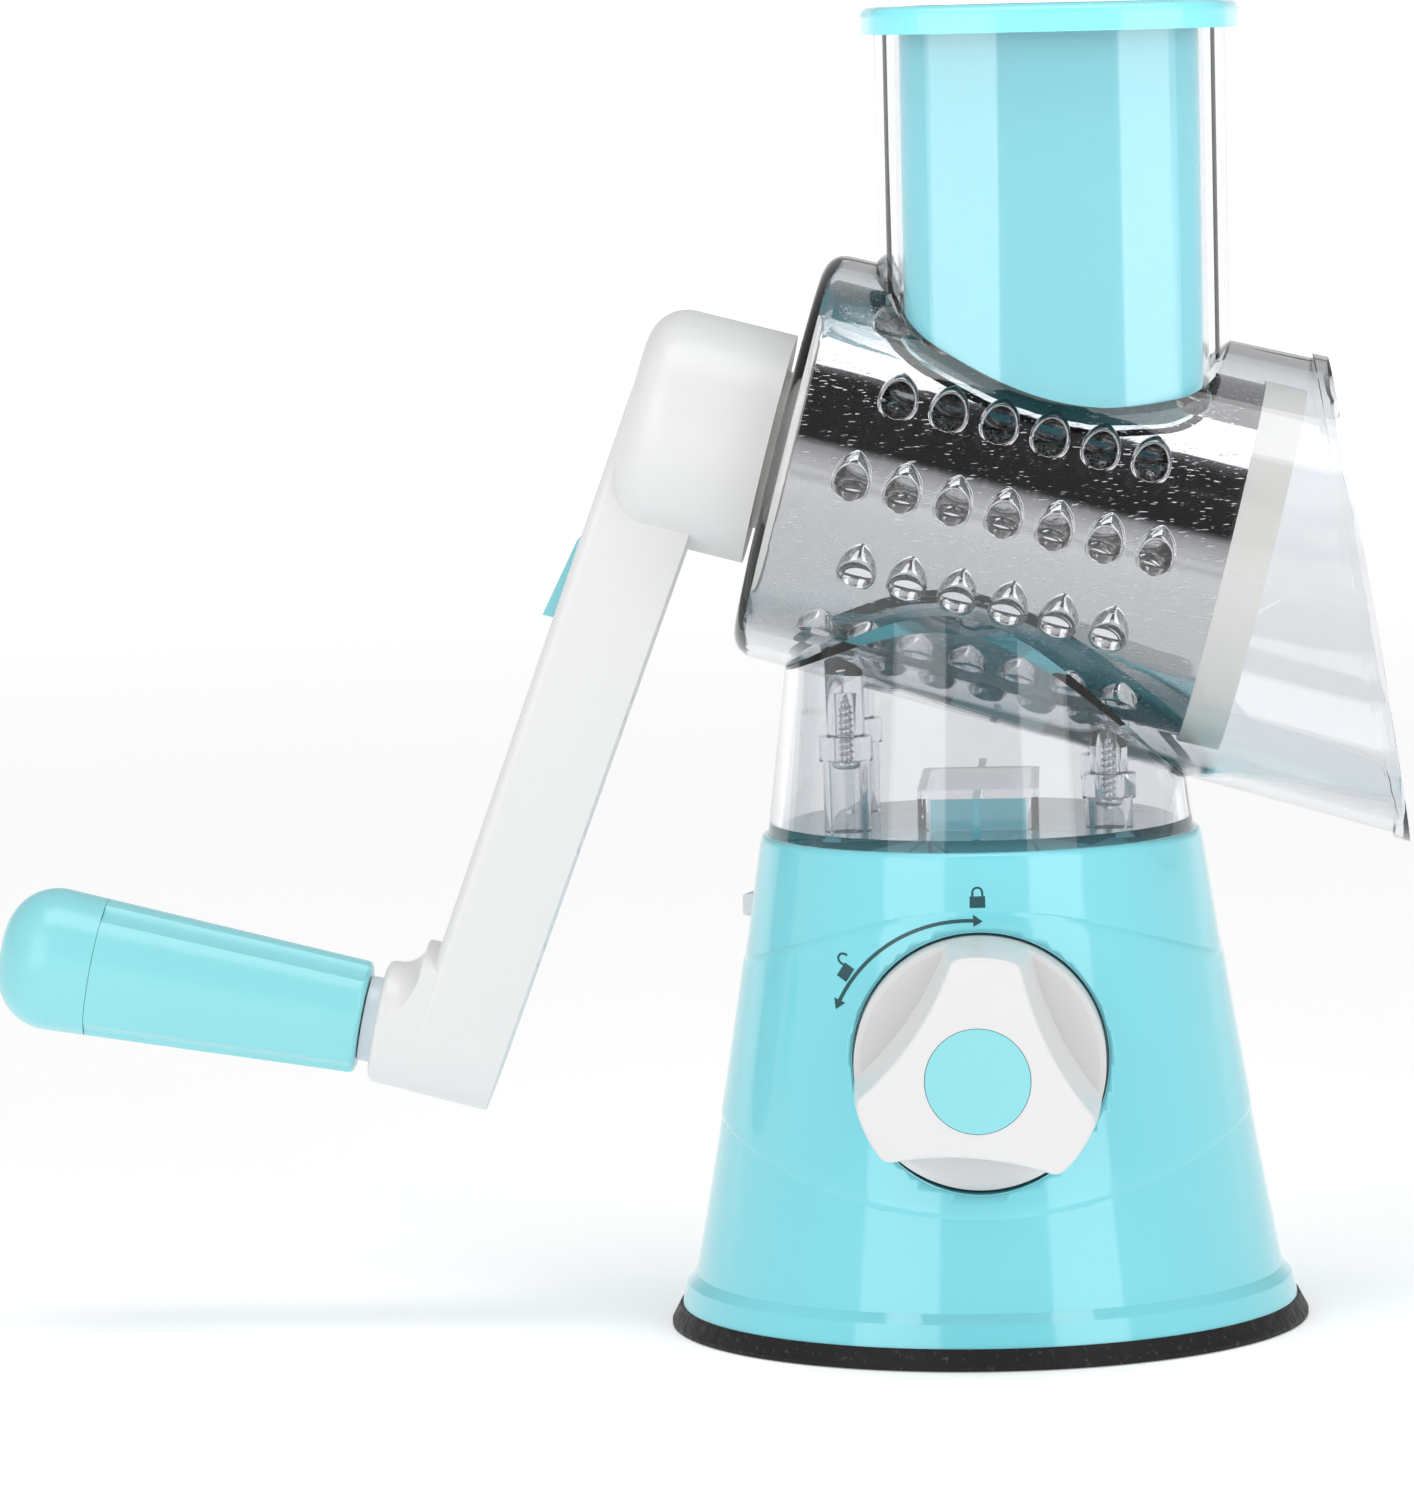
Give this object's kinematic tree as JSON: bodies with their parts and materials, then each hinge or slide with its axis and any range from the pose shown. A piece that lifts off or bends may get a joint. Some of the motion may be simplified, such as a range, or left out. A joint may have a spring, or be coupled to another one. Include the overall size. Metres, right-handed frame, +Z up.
{
  "type": "rotary drum grater",
  "caption": "Hand-cranked drum grater: clear slanted barrel with feed chute, pusher and toothed drum on a conical suction base.",
  "frame": {"origin": "on the table at the middle of the suction base", "axes": "+X towards the outlet, -Y towards the suction knob, +Z up"},
  "size_m": [0.2799, 0.1372, 0.2587],
  "materials": {
    "turquoise": "glossy moulded plastic",
    "white": "satin moulded plastic",
    "clear": "polished clear plastic",
    "steel": "mirror-polished stainless sheet",
    "ivory": "matte moulded plastic",
    "rubber": "soft black rubber",
    "screw_steel": "zinc-plated steel",
    "nub": "milky plastic",
    "collar": "pale low-friction plastic"
  },
  "bodies": {
    "base": {"base_shell": "turquoise", "base_floor": "turquoise", "floor_screws": "screw_steel", "suction_pad": "rubber", "stand": "clear", "stand_screws": "screw_steel", "barrel_housing": "clear"},
    "knob": {"suction_knob": "white", "knob_cap": "turquoise", "knob_screw": "screw_steel", "cam_shaft": "white"},
    "stem": {"lift_stem": "white", "stem_spring": "screw_steel"},
    "latch": {"release_latch": "nub", "latch_spring": "screw_steel"},
    "crank": {"crank_inner_shell": "white", "crank_outer_shell": "white", "crank_screws": "screw_steel", "drum_hub": "ivory", "drum_sleeve": "steel", "drum_ring": "ivory", "grip_axle": "screw_steel", "axle_collar": "collar"},
    "grip": {"grip_body": "turquoise", "grip_end_cap": "turquoise"},
    "button": {"release_button": "turquoise"},
    "catch": {"coupling_catch": "white", "catch_spring": "screw_steel"},
    "pusher": {"food_pusher": "turquoise"}
  },
  "joints": [
    {"name": "crank_turn", "type": "hinge", "parent": "base", "child": "crank", "pos_m": [0, 0, 0.162], "axis": [0.9659, 0, -0.2588], "continuous": true},
    {"name": "grip_spin", "type": "hinge", "parent": "crank", "child": "grip", "pos_m": [-0.12303, 0, 0.06141], "axis": [-0.9792, 0, 0.2028], "continuous": true},
    {"name": "button_press", "type": "slide", "parent": "crank", "child": "button", "axis": [0.9659, 0, -0.2588], "range_m": [0, 0.002], "stiffness_N_per_m": 600, "springref_m": -0.002, "deforming": ["catch_spring"]},
    {"name": "catch_slide", "type": "slide", "parent": "crank", "child": "catch", "axis": [-0.2588, 0, -0.9659], "range_m": [0, 0.002], "deforming": ["catch_spring"]},
    {"name": "knob_turn", "type": "hinge", "parent": "base", "child": "knob", "pos_m": [0, -0.052, 0.0573], "axis": [0, -1, 0], "range_deg": [0, 67]},
    {"name": "pad_lift", "type": "slide", "parent": "base", "child": "stem", "axis": [0, 0, -1], "range_m": [0, 0.003], "deforming": ["suction_pad", "stem_spring"]},
    {"name": "latch_press", "type": "slide", "parent": "base", "child": "latch", "axis": [0.9613, -0.2756, 0], "range_m": [0, 0.0025], "stiffness_N_per_m": 400, "springref_m": -0.002, "deforming": ["latch_spring"]},
    {"name": "pusher_lift", "type": "slide", "parent": "base", "child": "pusher", "axis": [0, 0, 1], "range_m": [0, 0.07]}
  ],
  "couplings": [
    {"joint": "catch_slide", "follows": "button_press", "ratio": 1},
    {"joint": "pad_lift", "follows": "knob_turn", "m_per_rad": 0.002565}
  ]
}
